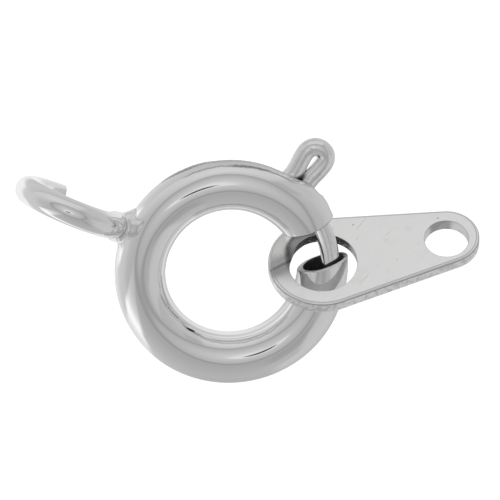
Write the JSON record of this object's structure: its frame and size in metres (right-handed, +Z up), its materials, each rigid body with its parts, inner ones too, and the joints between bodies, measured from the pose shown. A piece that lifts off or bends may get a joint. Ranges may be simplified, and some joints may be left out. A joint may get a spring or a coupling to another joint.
{
  "type": "spring ring clasp",
  "caption": "Spring ring clasp for a fine chain: a hollow open ring closed by a sprung wire latch, with a soldered wire loop and a flat two-hole chain tab hung on the latch.",
  "frame": {"origin": "on the surface that the clasp lies on, under the middle of its bounding box", "axes": "+Z up from that surface, +X from the wire loop towards the small end of the tab, +Y towards the latch's nib"},
  "size_m": [0.012, 0.0065, 0.003],
  "materials": {
    "ring_plating": "bright silver-coloured plating, polished",
    "latch_plating": "bright silver-coloured plating, drawn wire",
    "spring_steel": "drawn spring wire",
    "tab_plating": "bright silver-coloured plating on stamped sheet, finely scratched"
  },
  "bodies": {
    "clasp": {"ring_body": "ring_plating", "tab": "tab_plating", "spring": "spring_steel"},
    "latch": {"latch": "latch_plating"}
  },
  "joints": [
    {"name": "latch_slide", "type": "hinge", "parent": "clasp", "child": "latch", "pos_m": [-0.00046, -0.00028, 0.00104], "axis": [0.0362, -0.1564, 0.987], "range_deg": [0, 42], "stiffness_Nm_per_rad": 0.0018, "springref_deg": -17.19, "deforming": ["spring"]}
  ]
}
